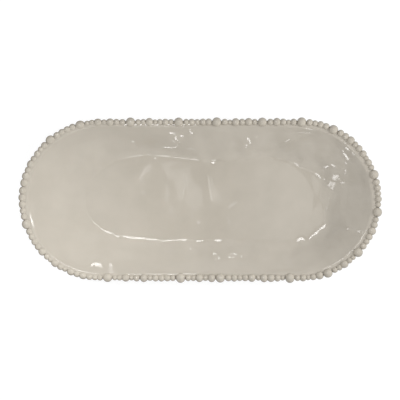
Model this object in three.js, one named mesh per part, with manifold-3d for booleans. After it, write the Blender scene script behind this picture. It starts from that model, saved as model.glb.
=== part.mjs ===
// Oval serving plate with a beaded rim, hand built in glazed stoneware.
// Millimetres, +Z up. The origin lies on the table under the middle of the plate, and X runs along it.

import * as THREE from 'three';
import { mergeVertices } from 'three/addons/utils/BufferGeometryUtils.js';
import Module from 'manifold-3d';

// Dish: a flat oval floor, a flared wall and a level lip
const rimLength = 353.5; // over the outer edge of the lip
const rimWidth = 153.5;
const rimHeight = 32; // from the table to the top of the lip
const lipWidth = 3.4; // level top of the rim, which carries the beads
const lipRound = 1; // how far the round between wall and lip reaches each way
const lipThickness = 4;
const wallThickness = 4.5;
const floorLength = 234; // flat part of the well
const floorWidth = 79;
const floorThickness = 5;
const coveRun = 7; // level distance in which the floor turns up into the wall

// Foot ring: an oval coil under the floor
const footHeight = 5;
const footWidth = 5; // across the face that stands on the table
const footInset = 4; // from the edge of the floor to the outside of the standing face
const footFlare = 1; // how much further each side reaches where the coil meets the floor
const footChamfer = 0.8; // worn edges of the standing face

// Beads: balls pressed over the outer corner of the lip
const pearlDiameter = 9; // laid on one by one
const largeDiameter = 7.6;
const mediumDiameter = 6.4;
const smallDiameter = 5.6;
const tinyDiameter = 4.8;
const beadOverhang = 1; // from the edge of the lip out to the bead centres
const beadDrop = 0.5; // from the top of the lip down to the bead centres
const beadOverlap = 0.041; // share of its diameter that a bead loses to its neighbours, on average
const firstPearl = 16.7; // from the middle of the +Y side to the first pearl, along the bead line

// Beads in order round the rim, clockwise from above: a pearl, or a strip of beads rolled out as one string
const beadDiameters = {
  P: pearlDiameter,
  l: largeDiameter,
  m: mediumDiameter,
  s: smallDiameter,
  t: tinyDiameter,
};
const beadOrder = [
  'P', 'mtlmls', 'P', 'mlmtm', 'P', 'msmm', 'P', 'mmlsm', 'mtms', 'P', 'mmsms', 'P', 'smlmsm',
  'P', 'tslss', 'P', 'lmtms', 'P', 'tmllt', 'lmsmm', 'P', 'lslss', 'P', 'smmmsl', 'mtlst',
  'P', 'ssmlml', 'tmlts', 'lmmmm', 'P', 'mmlll', 'llmls', 'msm', 'P', 'mmmm', 'P', 'tslslmm',
  'P', 'ssltsms', 'P', 'smsmm',
];

// Slip that lutes two pieces together: the space left between their faces
const slipGap = 0.3;

// Facets
const arcSteps = 10; // two facets to a step in each half circle of an oval
const wallSteps = 7;
const lipRoundSteps = 3;
const coveCrowding = 1.6; // above 1, wall facets crowd towards the cove
const beadSides = 12;
const stripBeadSteps = 4; // facets from neck to neck
const pearlSteps = 6; // facets from pole to pole
const weldDistance = 1e-4;

const wasm = await Module();
wasm.setup();

// Ovals: two half circles joined by straight sides

function oval(length, width) {
  return { straight: (length - width) / 2, radius: width / 2 };
}

function grown(shape, distance) {
  return { straight: shape.straight, radius: shape.radius + distance };
}

function between(from, to, share) {
  return {
    straight: THREE.MathUtils.lerp(from.straight, to.straight, share),
    radius: THREE.MathUtils.lerp(from.radius, to.radius, share),
    z: THREE.MathUtils.lerp(from.z, to.z, share),
  };
}

// Runs clockwise from above and starts in the middle of the +Y side
function ovalPath({ straight, radius }) {
  const path = new THREE.Path();
  path.moveTo(0, radius);
  path.absarc(straight, 0, radius, Math.PI / 2, -Math.PI / 2, true);
  path.absarc(-straight, 0, radius, -Math.PI / 2, Math.PI / 2, true);
  path.closePath();
  return path;
}

// Skins a stack of ovals, each at its own height. An open stack is capped at both ends,
// and a ring runs from its last oval back to its first.
function ovalLoft(sections, isRing) {
  const rings = sections.map((section) =>
    ovalPath(section)
      .getPoints(arcSteps)
      .slice(0, -1)
      .map((point) => new THREE.Vector3(point.x, point.y, section.z)),
  );
  const around = rings[0].length;
  const points = rings.flat();
  const corners = [];
  const spans = isRing ? rings.length : rings.length - 1;
  for (let ring = 0; ring < spans; ring++) {
    const here = ring * around;
    const next = ((ring + 1) % rings.length) * around;
    for (let i = 0; i < around; i++) {
      const j = (i + 1) % around;
      corners.push(here + i, next + i, next + j, here + i, next + j, here + j);
    }
  }
  if (!isRing) {
    const last = (rings.length - 1) * around;
    const bottom = points.push(new THREE.Vector3(0, 0, sections[0].z)) - 1;
    const top = points.push(new THREE.Vector3(0, 0, sections.at(-1).z)) - 1;
    for (let i = 0; i < around; i++) {
      const j = (i + 1) % around;
      corners.push(bottom, i, j, top, last + j, last + i);
    }
  }
  return new THREE.BufferGeometry().setFromPoints(points).setIndex(corners);
}

// Solids for cutting

function solidFrom(geometry) {
  geometry.deleteAttribute('normal');
  geometry.deleteAttribute('uv');
  const welded = mergeVertices(geometry, weldDistance);
  const corners = welded.index.array;
  const kept = [];
  for (let i = 0; i < corners.length; i += 3) {
    const [a, b, c] = corners.slice(i, i + 3);
    const collapsed = a === b || b === c || c === a; // at the poles of a turned shape
    if (!collapsed) kept.push(a, b, c);
  }
  const vertProperties = welded.getAttribute('position').array;
  return new wasm.Manifold(new wasm.Mesh({ numProp: 3, vertProperties, triVerts: new Uint32Array(kept) }));
}

function geometryFrom(solid) {
  const mesh = solid.getMesh();
  return new THREE.BufferGeometry()
    .setAttribute('position', new THREE.BufferAttribute(mesh.vertProperties, 3))
    .setIndex(new THREE.BufferAttribute(mesh.triVerts, 1));
}

// Dish

const floorTop = footHeight + floorThickness;
const floorEdge = oval(floorLength, floorWidth);
const lipEdge = oval(rimLength, rimWidth);
const wallHead = { ...grown(lipEdge, -lipWidth), z: rimHeight }; // where the wall meets the lip
const wallRun = wallHead.radius - floorEdge.radius;

// The wall leaves the floor level and straightens past the cove
function wallSection(share) {
  const rise = rimHeight - floorTop;
  const cove = coveRun / wallRun;
  const curve = Math.hypot(share, cove);
  const fullCurve = Math.hypot(1, cove) - cove;
  const slope = ((rise / wallRun) * (share / curve)) / fullCurve;
  const z = floorTop + (rise * (curve - cove)) / fullCurve;
  return { ...between(floorEdge, wallHead, share), z, tilt: Math.atan(slope) };
}

// The round from wall to lip bends off the wall at its start and lies level at its end
function lipRoundSection(start, share) {
  const end = { ...grown(wallHead, lipRound), z: rimHeight };
  return between(between(start, wallHead, share), between(wallHead, end, share), share);
}

// The same station on the underside, one wall thickness away
function undersideSection(share) {
  const section = wallSection(share);
  const thickness = THREE.MathUtils.lerp(floorThickness, wallThickness, share);
  const outer = grown(section, thickness * Math.sin(section.tilt));
  return { ...outer, z: section.z - thickness * Math.cos(section.tilt) };
}

function dishGeometry() {
  const shares = [];
  const lastShare = 1 - lipRound / wallRun;
  for (let i = 0; i <= wallSteps; i++) shares.push(lastShare * (i / wallSteps) ** coveCrowding);
  const inside = shares.map(wallSection);
  const wallEnd = inside.at(-1);
  for (let i = 1; i <= lipRoundSteps; i++) inside.push(lipRoundSection(wallEnd, i / lipRoundSteps));
  const underside = shares.slice(0, -1).map(undersideSection);
  const outerEdge = [
    { ...lipEdge, z: rimHeight - lipThickness },
    { ...lipEdge, z: rimHeight },
  ];
  return ovalLoft([...underside, ...outerEdge, ...inside.reverse()], false);
}

// Foot ring

function footRingGeometry() {
  const outside = grown(floorEdge, -footInset);
  const inside = grown(outside, -footWidth);
  const head = footHeight - slipGap;
  const sections = [
    { ...grown(inside, footChamfer), z: 0 },
    { ...grown(outside, -footChamfer), z: 0 },
    { ...outside, z: footChamfer },
    { ...grown(outside, footFlare), z: head },
    { ...grown(inside, -footFlare), z: head },
    { ...inside, z: footChamfer },
  ];
  return ovalLoft(sections, true);
}

// Beads

const beadLine = ovalPath(grown(lipEdge, beadOverhang));
const beadLineLength = beadLine.getLength();

// Takes beads in order until the bead line is full
function pickBeads() {
  const beads = [];
  let filled = 0;
  for (let strip = 0; filled < beadLineLength; strip++) {
    for (const letter of beadOrder[strip % beadOrder.length]) {
      const radius = beadDiameters[letter] / 2;
      const half = radius * (1 - beadOverlap);
      if (filled + half < beadLineLength) beads.push({ radius, strip, isPearl: letter === 'P' });
      filled += 2 * half;
    }
  }
  return beads;
}

// Sets the beads out so that they close the line: strips and pearls stand a slip gap apart,
// and the beads of a strip are pushed together by what is left over.
function placeBeads(beads) {
  const pairs = beads.map((bead, i) => {
    const next = beads[(i + 1) % beads.length];
    return { reach: bead.radius + next.radius, isJoined: bead.strip === next.strip };
  });
  const joined = pairs.filter((pair) => pair.isJoined);
  const separate = pairs.filter((pair) => !pair.isJoined);
  const sum = (list) => list.reduce((total, pair) => total + pair.reach, 0);
  const squeeze = (beadLineLength - sum(separate) - separate.length * slipGap) / sum(joined);
  let at = firstPearl;
  beads.forEach((bead, i) => {
    bead.at = at;
    at += pairs[i].isJoined ? pairs[i].reach * squeeze : pairs[i].reach + slipGap;
  });
}

// Angle from the line of the string to the neck that a bead shares with its neighbour
function neckAngle(bead, neighbour) {
  const apart = Math.abs(neighbour.at - bead.at);
  const toNeck = (apart ** 2 + bead.radius ** 2 - neighbour.radius ** 2) / (2 * apart);
  return Math.acos(toNeck / bead.radius);
}

// Half outline of a string of balls, to be turned about the bead line
function stringOutline(beads) {
  const outline = [];
  beads.forEach((bead, i) => {
    const isFirst = i === 0;
    const isLast = i === beads.length - 1;
    const start = isFirst ? 0 : neckAngle(bead, beads[i - 1]);
    const end = Math.PI - (isLast ? 0 : neckAngle(bead, beads[i + 1]));
    const steps = bead.isPearl ? pearlSteps : stripBeadSteps;
    for (let k = isFirst ? 0 : 1; k <= steps; k++) {
      const angle = THREE.MathUtils.lerp(start, end, k / steps);
      const fromLine = bead.radius * Math.sin(angle);
      outline.push(new THREE.Vector2(fromLine, bead.at - bead.radius * Math.cos(angle)));
    }
  });
  return outline;
}

// Bends a straight string, turned about Y, along the bead line
function bendRoundRim(geometry) {
  const position = geometry.getAttribute('position');
  for (let i = 0; i < position.count; i++) {
    const share = THREE.MathUtils.euclideanModulo(position.getY(i), beadLineLength) / beadLineLength;
    const centre = beadLine.getPoint(share);
    const along = beadLine.getTangent(share);
    const out = position.getX(i);
    const z = rimHeight - beadDrop - position.getZ(i);
    position.setXYZ(i, centre.x - along.y * out, centre.y + along.x * out, z);
  }
  return geometry;
}

// What the lip takes out of the beads, with the slip around it
function lipCutter() {
  const outline = grown(lipEdge, slipGap);
  const deepest = rimHeight - Math.max(...Object.values(beadDiameters));
  return solidFrom(
    ovalLoft(
      [
        { ...outline, z: deepest },
        { ...outline, z: rimHeight + slipGap },
      ],
      false,
    ),
  );
}

function beadStringGeometry(beads, cutter) {
  const turned = new THREE.LatheGeometry(stringOutline(beads), beadSides);
  return geometryFrom(solidFrom(bendRoundRim(turned)).subtract(cutter));
}

// Finishes

function glaze() {
  return new THREE.MeshStandardMaterial({ color: '#c0b9ad', roughness: 0.12, metalness: 0 });
}

function bareClay() {
  return new THREE.MeshStandardMaterial({ color: '#cfc4b2', roughness: 0.8, metalness: 0 });
}

// Plate

function piece(name, geometry, material) {
  geometry.computeVertexNormals();
  const mesh = new THREE.Mesh(geometry, material);
  mesh.name = name;
  return mesh;
}

const plate = new THREE.Group();
plate.name = 'oval_serving_plate';
plate.add(piece('dish', dishGeometry(), glaze()));
plate.add(piece('foot_ring', footRingGeometry(), bareClay()));

const beads = pickBeads();
placeBeads(beads);
const cutter = lipCutter();
const counts = { pearl: 0, bead_strip: 0 };
for (const strip of Map.groupBy(beads, (bead) => bead.strip).values()) {
  const kind = strip[0].isPearl ? 'pearl' : 'bead_strip';
  counts[kind] += 1;
  const name = `${kind}_${String(counts[kind]).padStart(2, '0')}`;
  plate.add(piece(name, beadStringGeometry(strip, cutter), glaze()));
}

export default plate;
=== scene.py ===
import math
import random

import bpy
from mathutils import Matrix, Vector, noise
from mathutils.bvhtree import BVHTree
from mathutils.interpolate import poly_3d_calc


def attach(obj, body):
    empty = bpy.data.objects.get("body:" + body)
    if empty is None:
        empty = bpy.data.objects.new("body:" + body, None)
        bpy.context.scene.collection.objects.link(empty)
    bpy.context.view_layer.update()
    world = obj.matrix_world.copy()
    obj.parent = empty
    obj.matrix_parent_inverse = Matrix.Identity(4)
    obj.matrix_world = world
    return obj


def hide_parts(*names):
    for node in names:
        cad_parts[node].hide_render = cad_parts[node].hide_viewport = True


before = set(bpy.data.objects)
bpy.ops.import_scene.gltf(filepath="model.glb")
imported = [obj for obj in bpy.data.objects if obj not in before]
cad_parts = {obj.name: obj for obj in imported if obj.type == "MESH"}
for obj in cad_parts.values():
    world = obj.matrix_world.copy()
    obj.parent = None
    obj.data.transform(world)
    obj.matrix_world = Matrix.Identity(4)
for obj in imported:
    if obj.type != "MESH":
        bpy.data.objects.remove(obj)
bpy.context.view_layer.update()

mm = 0.001  # sizes below are millimetres, Blender's are metres
seed = 7
print("frame loaded:", len(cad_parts), "nodes")


# Small helpers

def hexToLinear(code):
    channels = [int(code[i:i + 2], 16) / 255 for i in (1, 3, 5)]
    linear = [c / 12.92 if c <= 0.04045 else ((c + 0.055) / 1.055) ** 2.4 for c in channels]
    return (*linear, 1.0)


def addNode(tree, kind, settings=None, inputs=None):
    # settings are the node's own, inputs are values or the sockets that feed it
    node = tree.nodes.new(kind)
    for name, value in (settings or {}).items():
        setattr(node, name, value)
    for name, value in (inputs or {}).items():
        if isinstance(value, bpy.types.NodeSocket):
            tree.links.new(value, node.inputs[name])
        else:
            node.inputs[name].default_value = value
    return node


def newMaterial(name):
    material = bpy.data.materials.new(name)
    material.use_nodes = True
    material.node_tree.nodes.clear()
    return material


def smoothStep(low, high, value):
    t = min(max((value - low) / (high - low), 0.0), 1.0)
    return t * t * (3 - 2 * t)


def mix(a, b, share):
    return a + (b - a) * share


def smoothMax(a, b, reach):
    # the larger of two heights, with the crease between them filled over a reach
    overlap = max(reach - abs(a - b), 0.0) / reach
    return max(a, b) + overlap * overlap * reach / 4


def makePiece(name, points, faces, pool, material, slot, node):
    # points in mm; pool is the painted light and shade at each point, from the lightest at 0 to the darkest
    # painted shade at 1
    mesh = bpy.data.meshes.new(name)
    mesh.from_pydata([Vector(p) * mm for p in points], [], faces)
    depth = mesh.attributes.new("paintedShadeShare", "FLOAT", "POINT")
    depth.data.foreach_set("value", pool)
    mesh.validate()
    mesh.shade_smooth()
    mesh.materials.append(material)
    piece = bpy.data.objects.new(name, mesh)
    bpy.context.scene.collection.objects.link(piece)
    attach(piece, "root")
    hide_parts(node)
    return piece


# Stoneware glaze, dipped and fired glossy over a hand-formed body.
# It gives the eye a soft warm grey with crisp reflections. On the beads its colour carries painted shade,
# darker between the balls and on their outer and lower flanks, and painted light, paler on their inner
# flanks.
glazeLook = {
    "paintedLight": "#bdb6a9",
    "even": "#b8b1a5",
    "paintedShade": "#807869",
    "evenDepth": 0.35,  # where the even colour lies between the painted light at 0 and the painted shade at 1
    "cloud": "#b3aca0",
    "cloudSize": 22,  # mm across a faint cloud in the colour
    "cloudRange": (0.35, 0.7),  # part of the noise that turns into clouds
    "roughness": (0.012, 0.02),
    "dull": 0.4,  # roughness that is added where the painted shade is deep, under the beads
    "dullFrom": 0.5,  # share of painted shade at which that starts
    "ior": 1.52,
    "rippleSize": 3.0,  # mm across a ripple of the fired surface
    "rippleDepth": 0.0001,  # mm
}


def stonewareGlaze(look):
    material = newMaterial("stoneware_glaze_dipped_glossy")
    tree = material.node_tree
    place = addNode(tree, "ShaderNodeTexCoord").outputs["Object"]
    cloud = addNode(tree, "ShaderNodeTexNoise", inputs={
        "Vector": place, "Scale": 1 / (look["cloudSize"] * mm), "Detail": 3.0, "Roughness": 0.5})
    low, high = look["cloudRange"]
    cloudShare = addNode(tree, "ShaderNodeMapRange", inputs={
        "Value": cloud.outputs["Fac"], "From Min": low, "From Max": high})
    # painted light and shade at each point sets the colour, and deep painted shade adds roughness
    depth = addNode(tree, "ShaderNodeAttribute", {"attribute_name": "paintedShadeShare"}).outputs["Fac"]
    tone = addNode(tree, "ShaderNodeValToRGB", inputs={"Fac": depth})
    even, dim = hexToLinear(look["even"]), hexToLinear(look["cloud"])
    ramp = tone.color_ramp
    ramp.elements[0].color = hexToLinear(look["paintedLight"])
    ramp.elements[1].color = hexToLinear(look["paintedShade"])
    ramp.elements.new(look["evenDepth"]).color = even
    clouded = addNode(tree, "ShaderNodeMix", {"data_type": "RGBA", "blend_type": "MULTIPLY"}, {
        "Factor": cloudShare.outputs["Result"], "A": tone.outputs["Color"],
        "B": [d / e for d, e in zip(dim, even)]})
    sheen = addNode(tree, "ShaderNodeMapRange", inputs={
        "Value": cloud.outputs["Fac"], "To Min": look["roughness"][0], "To Max": look["roughness"][1]})
    dryness = addNode(tree, "ShaderNodeMapRange", inputs={
        "Value": depth, "From Min": look["dullFrom"], "From Max": 1.0, "To Max": look["dull"]})
    rough = addNode(tree, "ShaderNodeMath", {"operation": "ADD"}, {
        0: sheen.outputs["Result"], 1: dryness.outputs["Result"]})
    ripple = addNode(tree, "ShaderNodeTexNoise", inputs={
        "Vector": place, "Scale": 1 / (look["rippleSize"] * mm), "Detail": 1.0})
    bump = addNode(tree, "ShaderNodeBump", inputs={
        "Height": ripple.outputs["Fac"], "Strength": 1.0, "Distance": look["rippleDepth"] * mm})
    surface = addNode(tree, "ShaderNodeBsdfPrincipled", inputs={
        "Base Color": clouded.outputs["Result"], "Roughness": rough.outputs["Value"],
        "IOR": look["ior"], "Normal": bump.outputs["Normal"]})
    addNode(tree, "ShaderNodeOutputMaterial", inputs={"Surface": surface.outputs["BSDF"]})
    return material


# Bare stoneware, wiped clean of glaze before firing so that the plate doesn't stick to the kiln shelf.
# It gives the eye a dry buff clay with fine grit, and the glaze ends above it in an uneven line.
bareClayLook = {
    "clay": "#c9bba4",
    "grit": "#a5947c",
    "glaze": "#bdb6aa",
    "roughness": (0.09, 0.85),  # glazed, bare
    "ior": 1.5,
    "gritSize": 0.8,  # mm; real grit is finer, drawn this coarse so that it shows
    "gritRange": (0.52, 0.66),  # part of the noise that turns into grit
    "gritDepth": 0.03,  # mm
    "glazeLine": 2.4,  # mm above the table
    "glazeEdge": 0.15,  # mm over which the glaze thins out to either side of its line
    "glazeLineWander": 1.0,  # mm
    "wanderLength": 14,  # mm
}


def bareStoneware(look):
    material = newMaterial("bare_stoneware_wiped")
    tree = material.node_tree
    place = addNode(tree, "ShaderNodeTexCoord").outputs["Object"]
    grit = addNode(tree, "ShaderNodeTexNoise", inputs={
        "Vector": place, "Scale": 1 / (look["gritSize"] * mm), "Detail": 2.0}).outputs["Fac"]
    low, high = look["gritRange"]
    specks = addNode(tree, "ShaderNodeMapRange", inputs={"Value": grit, "From Min": low, "From Max": high})
    clay = addNode(tree, "ShaderNodeMix", {"data_type": "RGBA"}, {
        "Factor": specks.outputs["Result"], "A": hexToLinear(look["clay"]), "B": hexToLinear(look["grit"])})
    wander = addNode(tree, "ShaderNodeTexNoise", inputs={
        "Vector": place, "Scale": 1 / (look["wanderLength"] * mm), "Detail": 1.0}).outputs["Fac"]
    height = addNode(tree, "ShaderNodeSeparateXYZ", inputs={"Vector": place}).outputs["Z"]
    shifted = addNode(tree, "ShaderNodeMath", {"operation": "MULTIPLY_ADD"}, {
        0: wander, 1: look["glazeLineWander"] * mm, 2: height})
    line, edge = look["glazeLine"] * mm, look["glazeEdge"] * mm
    glazed = addNode(tree, "ShaderNodeMapRange", inputs={
        "Value": shifted.outputs["Value"], "From Min": line - edge, "From Max": line + edge})
    colour = addNode(tree, "ShaderNodeMix", {"data_type": "RGBA"}, {
        "Factor": glazed.outputs["Result"], "A": clay.outputs["Result"], "B": hexToLinear(look["glaze"])})
    rough = addNode(tree, "ShaderNodeMapRange", inputs={
        "Value": glazed.outputs["Result"], "To Min": look["roughness"][1], "To Max": look["roughness"][0]})
    bare = addNode(tree, "ShaderNodeMath", {"operation": "SUBTRACT"}, {0: 1.0, 1: glazed.outputs["Result"]})
    bump = addNode(tree, "ShaderNodeBump", inputs={
        "Height": grit, "Strength": bare.outputs["Value"], "Distance": look["gritDepth"] * mm})
    surface = addNode(tree, "ShaderNodeBsdfPrincipled", inputs={
        "Base Color": colour.outputs["Result"], "Roughness": rough.outputs["Result"],
        "IOR": look["ior"], "Normal": bump.outputs["Normal"]})
    addNode(tree, "ShaderNodeOutputMaterial", inputs={"Surface": surface.outputs["BSDF"]})
    return material


glaze = stonewareGlaze(glazeLook)
bareClay = bareStoneware(bareClayLook)
print("materials made")


# Ovals: two half circles joined by straight sides

def ovalOf(length, width, grow=0.0):
    # half the straight side, and the radius of the round ends
    return (length - width) / 2, width / 2 + grow


def ovalRing(straight, radius, steps):
    # points anticlockwise from above, from the start of the +X half circle
    ring = []
    for i in range(steps["arc"]):
        a = -math.pi / 2 + math.pi * i / steps["arc"]
        ring.append((straight + radius * math.cos(a), radius * math.sin(a)))
    for i in range(steps["straight"]):
        ring.append((straight - 2 * straight * i / steps["straight"], radius))
    return ring + [(-x, -y) for x, y in ring]


def easeRing(ring, reach):
    # each point becomes the mean of its neighbours, so that no edge shows where straight meets round
    count = len(ring)
    eased = []
    for i in range(count):
        near = [ring[(i + k) % count] for k in range(-reach, reach + 1)]
        eased.append((sum(x for x, y in near) / len(near), sum(y for x, y in near) / len(near)))
    return eased


def outward(x, y, straight):
    # level direction away from the oval's middle line, or nothing on the line itself
    return Vector((x - max(-straight, min(straight, x)), y)).normalized()


def skinRings(rings, isRing):
    # quads between rings of points, from the first ring to the last
    around = len(rings[0])
    points = [p for ring in rings for p in ring]
    faces = []
    for k in range(len(rings) if isRing else len(rings) - 1):
        here, there = k * around, (k + 1) % len(rings) * around
        for i in range(around):
            j = (i + 1) % around
            faces.append((here + i, here + j, there + j, there + i))
    return points, faces


def weldPoints(points, faces, values, reach=1e-5):
    # joins points that fall together, and drops the edges that this closes up
    index, kept, keptValues, found = [], [], [], {}
    for p, value in zip(points, values):
        key = tuple(round(c / reach) for c in p)
        if key not in found:
            found[key] = len(kept)
            kept.append(p)
            keptValues.append(value)
        index.append(found[key])
    welded = []
    for face in faces:
        corners = []
        for c in face:
            if index[c] not in corners:
                corners.append(index[c])
        if len(corners) > 2:
            welded.append(tuple(corners))
    return kept, welded, keptValues


# Dish: floor, cove, flared wall and lip, with the unevenness of a shape pressed by hand
dishSizes = {
    "rimLength": 353.5,
    "rimWidth": 153.5,
    "rimHeight": 32,
    "lipWidth": 3.4,
    "lipRound": 1,
    "lipThickness": 4,
    "wallThickness": 4.5,
    "floorLength": 234,
    "floorWidth": 79,
    "floorThickness": 5,
    "coveRun": 7,
    "endCove": (1.8, 0.65),  # how much longer the cove runs at the -X and the +X end, as a share
    "ease": 8,  # how far the straight sides ease into the round ends, in points of the ring
    "footHeight": 5,
    "edgeRound": 1.2,  # outer corners of the lip
    "lipSway": 1.0,  # how much wider the lip was left at the +X end
    "uneven": (0.4, 1.3),  # share of the hand's marks at the -X end, which was smoothed more, and at +X
    "undersideTop": 0.86,  # how far up the wall the underside keeps its thickness, as a share
    "steps": {"arc": 120, "straight": 140},
    "floorSteps": 26,
    "wallSteps": 46,
    "roundSteps": 8,
    "undersideSteps": 22,
    "crowding": {"floor": 1.7, "wall": 1.6, "underside": 1.4},  # over 1, steps lie closer by the cove
}
# where each thing starts and where it is full, or where it starts to fade and where it is gone
dishFades = {
    "uneven": (-70, 130),  # x
    "coveStray": (0.3, 0.8),  # share up the wall
    "endCove": (85, 140),  # x to either side
    "wall": (-0.1, 0.25),  # share up the wall, from the floor's swell to the wall's dents
    "belowLip": (0.84, 0.97),  # share up the wall, where dents and prints fade out
    "lipSway": (60, 150),  # x
    "lipEdge": (0.55, 1.0),  # share up the wall
    "underside": (0.4, 2.0),  # mm above the foot
}
handMarks = {
    "floorSwell": (0.04, 18, 1),  # depth and length of a wave in mm, and its layer of noise
    "wallSwell": (1.1, 44, 2),
    "wallDent": (0.45, 16, 3),
    "coveWander": (2.2, 32, 4),  # how far the foot of the wall strays
    "coveNotch": (0.9, 10, 7),
    "underside": (0.6, 40, 5),
    "lipEdge": (0.35, 16, 6),
    "footSway": (0.25, 34, 6),  # uneven width of the foot's coil
}
# where the foot of the wall was pushed out by a thumb, or left standing in: x, y, reach, how far, all mm
covePushes = [
    (-52, 42, 20, 4.5),
    (-100, 36, 20, -3.5),
    (115, 21.5, 8, 3.0),
    (121, -23, 15, 8.0),
    (-34, -41, 13, 2.0),
    (-94, -35, 20, -3.4),
    (-60, -41, 36, -1.8),
    (-53, 43, 3.0, 1.2),
    (-83, -37, 3.5, 1.2),
    (-37, -40, 3.0, 1.2),
]
# thumb and finger prints in the wall: x, y, reach, depth, all mm
fingerPrints = [
    (32, -56.5, 3.6, 0.32), (16, -53.5, 2.4, 0.2), (-4, -48.5, 2.4, 0.2), (-111.5, -67.3, 4.0, 0.5),
    (-17, 63, 5.5, 0.4), (-30, 52, 4.5, 0.35), (-64, 55, 2.4, 0.2), (11, 41, 3.5, 0.25),
    (50, 58, 2.8, 0.25), (32, 52, 2.4, 0.2), (143, 47, 6.0, 0.5), (147, 51, 3.0, 0.25),
    (147, 38, 3.5, 0.3), (111, 68, 5.0, 0.4), (131, 14, 4.5, 0.35), (126, -10, 4.5, 0.35),
    (157, -32, 4.0, 0.35),
]


def wave(x, y, mark):
    depth, length, layer = handMarks[mark]
    return depth * noise.noise(Vector((x / length, y / length, seed + 10.0 * layer)))


def marks(x, y, places, cutOff=8):
    # sum of round marks, each fading out over its reach, and cut off where nothing of it is left
    total = 0.0
    for px, py, reach, depth in places:
        away = ((x - px) ** 2 + (y - py) ** 2) / (2 * reach * reach)
        if away < cutOff:
            total += depth * math.exp(-away)
    return total


def wallShape(s, share, coveGrowth=1.0):
    # straight, radius, height and slope of the wall, from the floor's edge at 0 to the lip at 1
    floorStraight, floorRadius = ovalOf(s["floorLength"], s["floorWidth"])
    headStraight, headRadius = ovalOf(s["rimLength"], s["rimWidth"], -s["lipWidth"])
    run, floorTop = headRadius - floorRadius, s["footHeight"] + s["floorThickness"]
    rise = s["rimHeight"] - floorTop
    cove = s["coveRun"] * coveGrowth / run
    curve, full = math.hypot(share, cove), math.hypot(1, cove) - cove
    return {
        "straight": mix(floorStraight, headStraight, share),
        "radius": mix(floorRadius, headRadius, share),
        "z": floorTop + rise * (curve - cove) / full,
        "tilt": math.atan(rise / run * share / curve / full),
        "run": run,
    }


def insideSections(s):
    # from the middle of the floor out to the lip's inner edge: straight, radius, share up the wall,
    # and a height of its own on the round of the lip
    floorStraight, floorRadius = ovalOf(s["floorLength"], s["floorWidth"])
    run = wallShape(s, 0)["run"]
    sections = []
    for i in range(s["floorSteps"]):
        radius = floorRadius * (1 - (1 - i / s["floorSteps"]) ** s["crowding"]["floor"])
        sections.append((floorStraight, radius, (radius - floorRadius) / run, None))
    lastShare = 1 - s["lipRound"] / run
    for i in range(s["wallSteps"] + 1):
        share = lastShare * (i / s["wallSteps"]) ** s["crowding"]["wall"]
        w = wallShape(s, share)
        sections.append((w["straight"], w["radius"], share, None))
    start, head = wallShape(s, lastShare), wallShape(s, 1)
    for i in range(1, s["roundSteps"] + 1):
        t = i / s["roundSteps"]
        level = head["radius"] + s["lipRound"] * t
        sections.append((
            mix(mix(start["straight"], head["straight"], t), head["straight"], t),
            mix(mix(start["radius"], head["radius"], t), level, t),
            mix(lastShare, 1, t),
            mix(mix(start["z"], s["rimHeight"], t), s["rimHeight"], t)))
    return sections


def outsideSections(s):
    # from the lip's outer corner down and back under the floor to its middle: straight, radius, height
    lipStraight, lipRadius = ovalOf(s["rimLength"], s["rimWidth"])
    sections = []
    r = s["edgeRound"]
    for i in range(s["roundSteps"] + 1):
        a = math.pi / 2 * (1 - i / s["roundSteps"])
        z = s["rimHeight"] - r + r * math.sin(a)
        sections.append((lipStraight, lipRadius - r + r * math.cos(a), z))
    low = s["rimHeight"] - s["lipThickness"]
    for i in range(s["roundSteps"] + 1):
        a = -math.pi / 2 * i / s["roundSteps"]
        sections.append((lipStraight, lipRadius - r + r * math.cos(a), low + r + r * math.sin(a)))
    for i in range(s["undersideSteps"]):
        wayLeft = 1 - i / (s["undersideSteps"] - 1)
        share = s["undersideTop"] * wayLeft ** s["crowding"]["underside"]
        w = wallShape(s, share)
        thick = mix(s["floorThickness"], s["wallThickness"], share)
        sections.append((
            w["straight"], w["radius"] + thick * math.sin(w["tilt"]), w["z"] - thick * math.cos(w["tilt"])))
    straight, radius = ovalOf(s["floorLength"], s["floorWidth"])
    for i in range(1, s["floorSteps"] + 1):
        sections.append((straight, radius * (1 - i / s["floorSteps"]), s["footHeight"]))
    return sections


def insideHeight(x, y, share, s, fades):
    # true height of the floor or wall, with the cove where it was pressed, and what the hand left on it
    uneven = mix(*s["uneven"], smoothStep(*fades["uneven"], x))
    stray = wave(x, y, "coveWander") + wave(x, y, "coveNotch") * uneven + marks(x, y, covePushes)
    stray *= 1 - smoothStep(*fades["coveStray"], share)
    run = wallShape(s, 0)["run"]
    coveGrowth = 1 + s["endCove"][x > 0] * smoothStep(*fades["endCove"], abs(x))
    z = wallShape(s, max(share - stray / run, 0.0), coveGrowth)["z"]
    onWall = smoothStep(*fades["wall"], share)
    belowLip = 1 - smoothStep(*fades["belowLip"], share)
    dent = (wave(x, y, "wallSwell") + wave(x, y, "wallDent")) * uneven * onWall
    return z + wave(x, y, "floorSwell") * (1 - onWall) + (dent - marks(x, y, fingerPrints)) * belowLip


def insideRing(section, s, fades):
    straight, radius, share, height = section
    upper = smoothStep(*fades["lipEdge"], share)
    ring = []
    for x, y in easeRing(ovalRing(straight, radius, s["steps"]), s["ease"]):
        inward = (s["lipSway"] * smoothStep(*fades["lipSway"], x) + wave(x, y, "lipEdge")) * upper
        out = outward(x, y, straight)
        z = insideHeight(x, y, share, s, fades) if height is None else height
        ring.append((x - out.x * inward, y - out.y * inward, z))
    return ring


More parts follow.
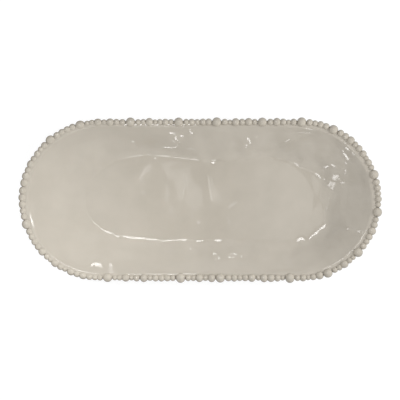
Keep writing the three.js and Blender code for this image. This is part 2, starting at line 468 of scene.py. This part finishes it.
def buildDish(s, fades):
    rings = []
    lipUnder = s["rimHeight"] - s["lipThickness"]
    fadeStart, fadeEnd = (s["footHeight"] + up for up in fades["underside"])
    for straight, radius, z in reversed(outsideSections(s)):
        # the underside sways between the lip and the foot, which stay true
        belowLip = smoothStep(lipUnder, lipUnder - s["lipThickness"], z)
        aboveFoot = smoothStep(fadeStart, fadeEnd, z)
        rings.append([(x, y, z + wave(x, y, "underside") * belowLip * aboveFoot)
                      for x, y in ovalRing(straight, radius, s["steps"])])
    for section in reversed(insideSections(s)):
        rings.append(insideRing(section, s, fades))
    points, faces = skinRings(rings, False)
    pool = [glazeLook["evenDepth"]] * len(points)
    return makePiece("dish_glazed", *weldPoints(points, faces, pool), glaze, "glaze", "dish")


dish = buildDish(dishSizes, dishFades)
print("dish made:", len(dish.data.polygons), "faces")


# Foot ring: a coil luted under the floor, its standing edge rounded by the wiping sponge
footSizes = {
    "footWidth": 5,
    "footInset": 4,
    "footFlare": 1,
    "flareSteps": (0.4, 0.75, 1.0),  # shares of the height, from the round edge to the head
    "edgeRound": 1.3,
    "roundSteps": 6,
    "headSink": 0.4,  # how far the coil runs into the floor
}


def buildFootRing(s, d):
    straight, outer = ovalOf(d["floorLength"], d["floorWidth"], -s["footInset"])
    inner, r = outer - s["footWidth"], s["edgeRound"]
    head = d["footHeight"] + s["headSink"]
    section = []  # radius and height, round the coil from inside to outside
    for i in range(s["roundSteps"] + 1):
        a = math.pi + math.pi / 2 * i / s["roundSteps"]
        section.append((inner + r + r * math.cos(a), r + r * math.sin(a)))
    for i in range(s["roundSteps"] + 1):
        a = -math.pi / 2 + math.pi / 2 * i / s["roundSteps"]
        section.append((outer - r + r * math.cos(a), r + r * math.sin(a)))
    for t in s["flareSteps"]:
        section.append((outer + s["footFlare"] * t ** 2, mix(r, head, t)))
    for t in reversed(s["flareSteps"]):
        section.append((inner - s["footFlare"] * t ** 2, mix(r, head, t)))
    rings = []
    for radius, z in section:
        side = 1 if radius > (inner + outer) / 2 else -1
        ring = []
        for x, y in ovalRing(straight, radius, d["steps"]):
            sway = wave(x, y, "footSway") * min(z / r, 1.0)
            out = outward(x, y, straight)
            ring.append((x + out.x * sway * side, y + out.y * sway * side, z))
        rings.append(ring)
    points, faces = skinRings(rings, True)
    pool = [glazeLook["evenDepth"]] * len(points)
    return makePiece("foot_ring_wiped", points, faces, pool, bareClay, "bare_clay", "foot_ring")


footRing = buildFootRing(footSizes, dishSizes)
print("foot ring made:", len(footRing.data.polygons), "faces")


# Beads: hand-rolled balls luted over the lip's outer corner, as pearls and as strips of smaller balls
beadSizes = {
    "diameters": {"P": 9, "l": 7.6, "m": 6.4, "s": 5.6, "t": 4.8},
    "overhang": 1,
    "drop": 0.5,
    "overlap": 0.041,
    "firstPearl": 16.7,
    "slipGap": 0.3,
    "order": """
        P mtlmls P mlmtm P msmm P mmlsm mtms P mmsms P smlmsm P tslss P lmtms P tmllt lmsmm P lslss
        P smmmsl mtlst P ssmlml tmlts lmmmm P mmlll llmls msm P mmmm P tslslmm P ssltsms P smsmm""",
    "coat": 0.2,  # glaze over the slip, which closes the joints
    "neckFill": 0.5,  # glaze that fills the necks
    "outOfRound": 0.05,  # share of the radius
    "outOfLine": 0.7,  # how far a ball strays from the line, as a share of that
    "pressed": (-40, -130),  # x from which beads were pressed to the lip, and where that is full
    "flatten": 0.14,  # how much flatter that made them, as a share
    "pressDown": 0.4,  # how much lower it left their tops, as a share
    "skirt": 0.5,  # how far it spread them over the lip, mm
    "skirtFrom": (0.8, 0.0),  # height on the bead from which it spread, and where that is full
    "pushedIn": (40, -40),  # y from which the pressed ones were pushed in as well, and where that is full
    "sides": 28,
    "stepsPerBead": 16,
}
# Painted light and shade on a bead, from 0 lightest to 1 darkest. Places on it are shares of its radius:
# side is 1 on its outer flank and -1 on its inner one, up is 1 on its top and -1 underneath.
beadShadeLook = {
    "coat": (0.42, 0.08),  # painted shade on the outer side, and on the inner one, which a painted light keeps paler
    "coatTurn": (0.3, -0.4),  # from the one side to the other
    "paintedShade": 0.92,
    # painted shade below the first height, and none above the second: round bead, pressed bead
    "outerShade": ((0.0, 0.95), (0.45, 0.95)),
    "innerShade": ((-0.3, 0.55), (-0.3, -0.1)),
    "underLift": 0.5,  # share of the painted shade that is taken off again underneath
    "underLiftFrom": (-0.2, -0.9),  # height where that starts, and where it is full
    "neck": (0.45, 0.85),  # thickness beside the larger ball, at the narrowest point between balls and where the painted shade there ends
    "neckShare": (0.4, 1.0),  # how dark the painted shade between balls is, and between pressed beads on the outer side
    "neckTurn": (-0.2, 0.3),  # from the inner side to the outer
}


def placeBeads(s, lineLength):
    # the same setting out as the solids: strips and pearls a slip gap apart, strips squeezed to fit
    beads, filled, strips = [], 0.0, s["order"].split()
    strip = 0
    while filled < lineLength:
        for letter in strips[strip % len(strips)]:
            radius = s["diameters"][letter] / 2
            half = radius * (1 - s["overlap"])
            if filled + half < lineLength:
                beads.append({"radius": radius, "strip": strip, "isPearl": letter == "P"})
            filled += 2 * half
        strip += 1
    joined = separate = gaps = 0.0
    for bead, after in zip(beads, beads[1:] + beads[:1]):
        bead["reach"] = bead["radius"] + after["radius"]
        bead["isJoined"] = bead["strip"] == after["strip"]
        if bead["isJoined"]:
            joined += bead["reach"]
        else:
            separate += bead["reach"]
            gaps += s["slipGap"]
    squeeze = (lineLength - separate - gaps) / joined
    at = s["firstPearl"]
    for bead in beads:
        bead["at"] = at
        at += bead["reach"] * squeeze if bead["isJoined"] else bead["reach"] + s["slipGap"]
    return beads


def beadLinePoint(along, straight, radius):
    # place and outward direction, clockwise from above from the middle of the +Y side
    arc = math.pi * radius
    along %= 4 * straight + 2 * arc
    if along < straight:
        return (along, radius), (0, 1)
    if along < straight + arc:
        a = (along - straight) / radius
        out = (math.sin(a), math.cos(a))
        return (straight + radius * out[0], radius * out[1]), out
    if along < 3 * straight + arc:
        return (straight - (along - straight - arc), -radius), (0, -1)
    if along < 3 * straight + 2 * arc:
        a = (along - 3 * straight - arc) / radius
        out = (-math.sin(a), -math.cos(a))
        return (-straight + radius * out[0], radius * out[1]), out
    return (along - 4 * straight - 2 * arc, radius), (0, 1)


def rollBeads(beads, s, straight, line):
    # no hand-rolled ball is quite round, or quite in line
    draw = random.Random(seed)
    slack, offLine = s["outOfRound"], s["outOfLine"]
    for bead in beads:
        x, y = beadLinePoint(bead["at"], straight, line)[0]
        bead["press"] = smoothStep(*s["pressed"], x)
        flatten = s["flatten"] * bead["press"]
        bead["coated"] = bead["radius"] + s["coat"]
        bead["wide"] = (1 + draw.uniform(-slack, slack)) * (1 - flatten)
        bead["tall"] = 1 + draw.uniform(-slack, slack / 2)
        inward = flatten * smoothStep(*s["pushedIn"], y)
        bead["shift"] = (draw.uniform(-offLine, offLine) * slack - inward) * bead["radius"]


def ballHeight(bead, along):
    # half thickness of one ball at a place along the line
    return math.sqrt(max(bead["coated"] ** 2 - (along - bead["at"]) ** 2, 0.0))


def neckPlace(bead, after):
    # where the surfaces of two balls meet
    apart = after["at"] - bead["at"]
    return bead["at"] + (apart ** 2 + bead["radius"] ** 2 - after["radius"] ** 2) / (2 * apart)


def stringStations(beads, s):
    # places along the string, closest together at its ends and necks
    stations = []
    for i, bead in enumerate(beads):
        start = bead["at"] - bead["coated"]
        end = bead["at"] + bead["coated"]
        if i > 0:
            start = neckPlace(beads[i - 1], bead)
        if i < len(beads) - 1:
            end = neckPlace(bead, beads[i + 1])
        for k in range(s["stepsPerBead"] + (i == len(beads) - 1)):
            stations.append(mix(start, end, (1 - math.cos(math.pi * k / s["stepsPerBead"])) / 2))
    return stations


def shadeOnBead(side, up, slim, press, look):
    # painted shade on a bead's lower flanks and between balls, and painted light on its inner flank
    onRound, onPressed = look["outerShade" if side > 0 else "innerShade"]
    foot, crown = (mix(low, high, press) for low, high in zip(onRound, onPressed))
    lowerShade = 1 - smoothStep(foot, crown, up) - look["underLift"] * smoothStep(*look["underLiftFrom"], up)
    neck = 1 - smoothStep(*look["neck"], slim)
    inNeckShade = mix(*look["neckShare"], press * smoothStep(*look["neckTurn"], side))
    coat = mix(*look["coat"], smoothStep(*look["coatTurn"], side))
    return mix(coat, look["paintedShade"], max(inNeckShade * neck, lowerShade))


def buildBeadString(name, node, beads, s, d):
    straight, line = ovalOf(d["rimLength"], d["rimWidth"], s["overhang"])
    height = d["rimHeight"] - s["drop"]
    traits = ("wide", "tall", "shift", "press")
    rings, pool = [], []
    for along in stringStations(beads, s):
        near = sorted(beads, key=lambda b: abs(b["at"] - along) - b["radius"])[:2]
        thick = ballHeight(near[0], along)
        share = 0.0
        if len(near) == 2:
            beside = ballHeight(near[1], along)
            if beside > 0:  # only where two balls meet, so that the string's ends close
                thick = smoothMax(thick, beside, s["neckFill"])
            low, high = sorted(near, key=lambda b: b["at"])
            share = smoothStep(low["at"], high["at"], along)
        else:
            low = high = near[0]
        slim = thick / max(low["coated"], high["coated"])
        wide, tall, shift, press = (mix(low[k], high[k], share) for k in traits)
        (x, y), out = beadLinePoint(along, straight, line)
        ring = []
        for j in range(s["sides"]):
            a = 2 * math.pi * j / s["sides"]
            side, up = math.cos(a), math.sin(a)
            spread = s["skirt"] * press * max(-side, 0) * smoothStep(*s["skirtFrom"], up)
            away = thick * wide * side + shift - spread * thick / low["coated"]
            rise = thick * tall * up
            if rise > 0:
                rise *= 1 - s["pressDown"] * press
            ring.append((x + out[0] * away, y + out[1] * away, height + rise))
            # painted light and shade at this point of the bead
            pool.append(shadeOnBead(side, up, slim, press, beadShadeLook))
        rings.append(ring)
    points, faces = skinRings(rings, False)
    return makePiece(name, *weldPoints(points, faces, pool), glaze, "glaze", node)


def buildBeads(s, d):
    straight, line = ovalOf(d["rimLength"], d["rimWidth"], s["overhang"])
    beads = placeBeads(s, 4 * straight + 2 * math.pi * line)
    rollBeads(beads, s, straight, line)
    counts = {"pearl": 0, "bead_strip": 0}
    for strip in sorted({b["strip"] for b in beads}):
        string = [b for b in beads if b["strip"] == strip]
        kind = "pearl" if string[0]["isPearl"] else "bead_strip"
        counts[kind] += 1
        node = f"{kind}_{counts[kind]:02d}"
        buildBeadString(node + "_glazed", node, string, s, d)
    return counts


print("beads made:", buildBeads(beadSizes, dishSizes))


# White sweep of matt paper that the plate stands on. Its own glow keeps it white in the picture and in
# reflections, and the rest of its white comes from the lamps, so it keeps the plate's shadow.
sweepLook = {
    "size": 8.0,  # metres
    "paint": "#7c7c7c",
    "glow": 0.86,
}


def buildSweep(look):
    half = look["size"] / 2
    corners = [(-half, -half, 0), (half, -half, 0), (half, half, 0), (-half, half, 0)]
    mesh = bpy.data.meshes.new("white_sweep")
    mesh.from_pydata(corners, [], [(0, 1, 2, 3)])
    material = newMaterial("white_sweep_matt_paper")
    tree = material.node_tree
    rays = addNode(tree, "ShaderNodeLightPath").outputs
    seen = rays["Is Camera Ray"]
    for kind in ("Is Glossy Ray", "Is Transmission Ray"):
        either = addNode(tree, "ShaderNodeMath", {"operation": "MAXIMUM"}, {0: seen, 1: rays[kind]})
        seen = either.outputs["Value"]
    strength = addNode(tree, "ShaderNodeMath", {"operation": "MULTIPLY"}, {0: seen, 1: look["glow"]})
    paper = addNode(tree, "ShaderNodeBsdfDiffuse", inputs={"Color": hexToLinear(look["paint"])})
    glow = addNode(tree, "ShaderNodeEmission", inputs={"Strength": strength.outputs["Value"]})
    both = addNode(tree, "ShaderNodeAddShader", inputs={
        0: paper.outputs["BSDF"], 1: glow.outputs["Emission"]})
    addNode(tree, "ShaderNodeOutputMaterial", inputs={"Surface": both.outputs["Shader"]})
    mesh.materials.append(material)
    floor = bpy.data.objects.new("white_sweep", mesh)
    bpy.context.scene.collection.objects.link(floor)


buildSweep(sweepLook)
print("sweep laid")


# Camera straight above the plate
cameraLook = {
    "height": 1600,  # mm above the rim
    "view": 398.4,  # mm across the view at the rim
    "sensor": 36,  # mm
}
eye = dishSizes["rimHeight"] + cameraLook["height"]  # mm above the table


def setCamera(look, eye):
    data = bpy.data.cameras.new("camera_above")
    data.sensor_fit = "HORIZONTAL"
    data.sensor_width = look["sensor"]
    data.lens = look["sensor"] * look["height"] / look["view"]
    camera = bpy.data.objects.new("camera_above", data)
    camera.location = (0, 0, eye * mm)
    bpy.context.scene.collection.objects.link(camera)
    bpy.context.scene.camera = camera


# Studio light: a pale room with a dark beam over the camera, a soft key from the right, a pool of light
# on the near left, and small bare lamps that draw the bright lines in the cove, the glints on the wall
# and the faint panes on the floor
roomLook = {
    "level": 1.08,
    "beamAt": -0.010,  # across, as a direction
    "beam": (0.03, 0.008, 0.06),  # what the dark beam leaves, and where it starts and ends to either side
    "beamEnds": (0.7, 0.95),  # it is dark straight above, and gone below the first of these heights
    "clutter": (0.45, 7.0),  # how far the things in the room dim or brighten it, and how small they are
    "clutterRange": (0.3, 0.7),  # part of the noise that turns into things
}
# places and sizes of these lamps and of the windows are metres
softLamps = {
    "key": {"at": (1.25, 0.12, 0.75), "aim": (0, 0, 0), "size": 0.7, "power": 11},
    "pool": {
        "at": (-0.455, 0.155, 1.128), "aim": (-0.105, -0.080, 0), "size": 0.1, "power": 22,
        "cone": 13.5},  # degrees
}
# window lights over the plate, which draw the bright lines in the cove; spread is in degrees
windows = {
    "window_far_1": {"at": (-0.101, 0.30, 1.15), "aim": None, "size": (0.064, 0.40), "glow": 11},
    "window_far_2": {"at": (-0.029, 0.37, 1.15), "aim": None, "size": (0.052, 0.46), "glow": 11},
    "window_corner": {
        "at": (-0.029, 0.10, 1.15), "aim": (-0.108, -0.022, 0.01), "size": (0.060, 0.09), "glow": 11,
        "spread": 8},
    "window_near": {
        "at": (-0.080, -0.38, 1.15), "aim": (-0.062, 0.042, 0.01), "size": (0.095, 0.18), "glow": 11,
        "spread": 14},
    "window_side": {
        "at": (-0.155, -0.37, 1.15), "aim": (0.107, 0.026, 0.01), "size": (0.110, 0.15), "glow": 10,
        "spread": 14},
}
# glints on the wall, each from a narrow lamp that only this spot of the glaze mirrors to the camera
glints = {
    "reach": 300,  # mm from the wall to the lamp
    "patch": 8,  # mm round the spot that the lamp reaches
    "places": [  # x, y of the spot, width and height of the lamp, all mm, and its glow
        (-6, -49.5, 8, 8, 14), (14, -54, 5, 5, 14), (29.5, -57.5, 15, 12, 14), (-108.3, -65.1, 8, 44, 15),
        (-167.6, -21, 55, 44, 20),
        (-64, 55, 6, 6, 14), (-33, 53, 14, 10, 14), (-24, 53.5, 6, 6, 14), (-18, 64, 18, 6, 14),
        (50, 58, 6, 5, 14),
        (108, 67, 26, 14, 14), (146, 44, 20, 40, 13), (147, 51, 14, 20, 12), (146, 37, 14, 24, 12),
        (138, 24, 12, 16, 7), (130, 15, 24, 30, 7), (158, -31, 12, 20, 8), (128, -8, 16, 20, 5),
    ],
}
# pale panes of a roof light, and the bright edges of three of them, where the camera sees them mirrored
# in the floor: x, y, width, height in mm, lean in degrees and glow
roofPanes = {
    "height": 2000,  # mm above the table
    "places": [
        (-28, 29, 13, 13, 0, 1.1), (-21, 12, 4, 24, 10, 1.1), (-18, 18, 1.2, 34, 8, 5.0),
        (-8, 14, 9, 44, 7, 0.95), (-14, 22, 1.2, 26, 4, 5.0), (16, 13, 8, 27, 22, 0.95),
        (11, 13, 1.2, 27, 22, 5.0), (-55, 26, 5, 9, 15, 1.8), (-57, 6, 8, 6, 0, 1.6),
        (-36, 8, 4, 12, 0, 1.5), (-30, -10, 8, 11, 0, 1.3), (33, -3, 5, 5, 0, 2.0),
        (31, -20, 4, 10, 0, 2.0), (-9, -16, 4, 3, 0, 4.0), (2, -22, 5, 3, 0, 4.0),
    ],
}


def lightRoom(look):
    world = bpy.data.worlds.new("pale_room")
    world.use_nodes = True
    tree = world.node_tree
    tree.nodes.clear()
    direction = addNode(tree, "ShaderNodeTexCoord").outputs["Generated"]
    toward = addNode(tree, "ShaderNodeSeparateXYZ", inputs={"Vector": direction}).outputs
    left, near, far = look["beam"]
    across = addNode(tree, "ShaderNodeMath", {"operation": "SUBTRACT"}, {0: toward["X"], 1: look["beamAt"]})
    offBeam = addNode(tree, "ShaderNodeMath", {"operation": "ABSOLUTE"}, {0: across.outputs["Value"]})
    inBeam = addNode(tree, "ShaderNodeMapRange", {"interpolation_type": "SMOOTHSTEP"}, {
        "Value": offBeam.outputs["Value"], "From Min": near, "From Max": far,
        "To Min": 1 - left, "To Max": 0.0})
    low, high = look["beamEnds"]
    overhead = addNode(tree, "ShaderNodeMapRange", {"interpolation_type": "SMOOTHSTEP"}, {
        "Value": toward["Z"], "From Min": low, "From Max": high})
    dark = addNode(tree, "ShaderNodeMath", {"operation": "MULTIPLY"}, {
        0: inBeam.outputs["Result"], 1: overhead.outputs["Result"]})
    strength = addNode(tree, "ShaderNodeMapRange", inputs={
        "Value": dark.outputs["Value"], "To Min": look["level"], "To Max": 0.0})
    dim, scale = look["clutter"]
    things = addNode(tree, "ShaderNodeTexNoise", inputs={
        "Vector": direction, "Scale": scale, "Detail": 3.0}).outputs["Fac"]
    low, high = look["clutterRange"]
    clutter = addNode(tree, "ShaderNodeMapRange", inputs={
        "Value": things, "From Min": low, "From Max": high, "To Min": 1 + dim, "To Max": 1 - dim})
    cluttered = addNode(tree, "ShaderNodeMath", {"operation": "MULTIPLY"}, {
        0: strength.outputs["Result"], 1: clutter.outputs["Result"]})
    air = addNode(tree, "ShaderNodeBackground", inputs={"Strength": cluttered.outputs["Value"]})
    addNode(tree, "ShaderNodeOutputWorld", inputs={"Surface": air.outputs["Background"]})
    bpy.context.scene.world = world


def hangLamp(name, data, at, aim):
    lamp = bpy.data.objects.new(name, data)
    lamp.location = at
    if aim:  # a lamp that isn't aimed faces straight down
        lamp.rotation_euler = (Vector(aim) - Vector(at)).to_track_quat("-Z", "Y").to_euler()
    bpy.context.scene.collection.objects.link(lamp)
    return lamp


def hangSoftLamp(name, look):
    # lights the plate, but is too well diffused to leave an image in the glaze
    data = bpy.data.lights.new(name, "SPOT" if "cone" in look else "AREA")
    data.energy = look["power"]
    if "cone" in look:
        data.spot_size = math.radians(look["cone"])
        data.spot_blend = 1.0
        data.shadow_soft_size = look["size"]
    else:
        data.size = look["size"]
    hangLamp(name, data, look["at"], look["aim"]).visible_glossy = False


def hangBareLamp(name, at, aim, size, glow, spread=180):
    # shows only as an image in the glaze, and lights nothing
    data = bpy.data.lights.new(name, "AREA")
    data.shape = "RECTANGLE"
    data.size, data.size_y = size
    data.spread = math.radians(spread)
    half = data.spread / 2
    narrow = 1 - half / math.tan(half) if spread < 180 else 1.0  # what the narrowing takes from the power
    data.energy = glow * math.pi * size[0] * size[1] * narrow
    lamp = hangLamp(name, data, at, aim)
    lamp.visible_diffuse = False
    lamp.visible_camera = False
    return lamp


def hangGlints(look, piece, eye):
    # each lamp hangs where the camera's ray goes on to from the spot of the wall that shall glint
    mesh = piece.data
    tree = BVHTree.FromPolygons([v.co for v in mesh.vertices], [p.vertices for p in mesh.polygons])
    camera = Vector((0, 0, eye)) * mm
    for i, (x, y, width, height, glow) in enumerate(look["places"]):
        hit, _, index, _ = tree.ray_cast(Vector((x, y, eye)) * mm, Vector((0, 0, -1)))
        corners = [mesh.vertices[v] for v in mesh.polygons[index].vertices]
        shares = poly_3d_calc([c.co for c in corners], hit)
        normal = sum((c.normal * share for c, share in zip(corners, shares)), Vector()).normalized()
        at = hit + (hit - camera).normalized().reflect(normal) * look["reach"] * mm
        spread = 2 * math.degrees(math.atan((max(width, height) / 2 + look["patch"]) / look["reach"]))
        hangBareLamp(f"glint_{i + 1}", at, hit, (width * mm, height * mm), glow, spread)


def hangRoofPanes(look, d, eye):
    # a pane is this much larger up there than the camera sees it in the floor
    floorTop = d["footHeight"] + d["floorThickness"]
    growth = (look["height"] + eye - 2 * floorTop) / (eye - floorTop)
    for i, (x, y, width, height, lean, glow) in enumerate(look["places"]):
        at = Vector((x * growth, y * growth, look["height"])) * mm
        size = (width * growth * mm, height * growth * mm)
        hangBareLamp(f"roof_pane_{i + 1}", at, None, size, glow).rotation_euler.z = math.radians(lean)


lightRoom(roomLook)
for lampName, softLamp in softLamps.items():
    hangSoftLamp(lampName, softLamp)
for lampName, window in windows.items():
    hangBareLamp(lampName, **window)
hangGlints(glints, dish, eye)
hangRoofPanes(roofPanes, dishSizes, eye)
print("lamps hung:", len(bpy.data.lights))

setCamera(cameraLook, eye)
bpy.context.scene.view_settings.view_transform = "Standard"
print("camera set")
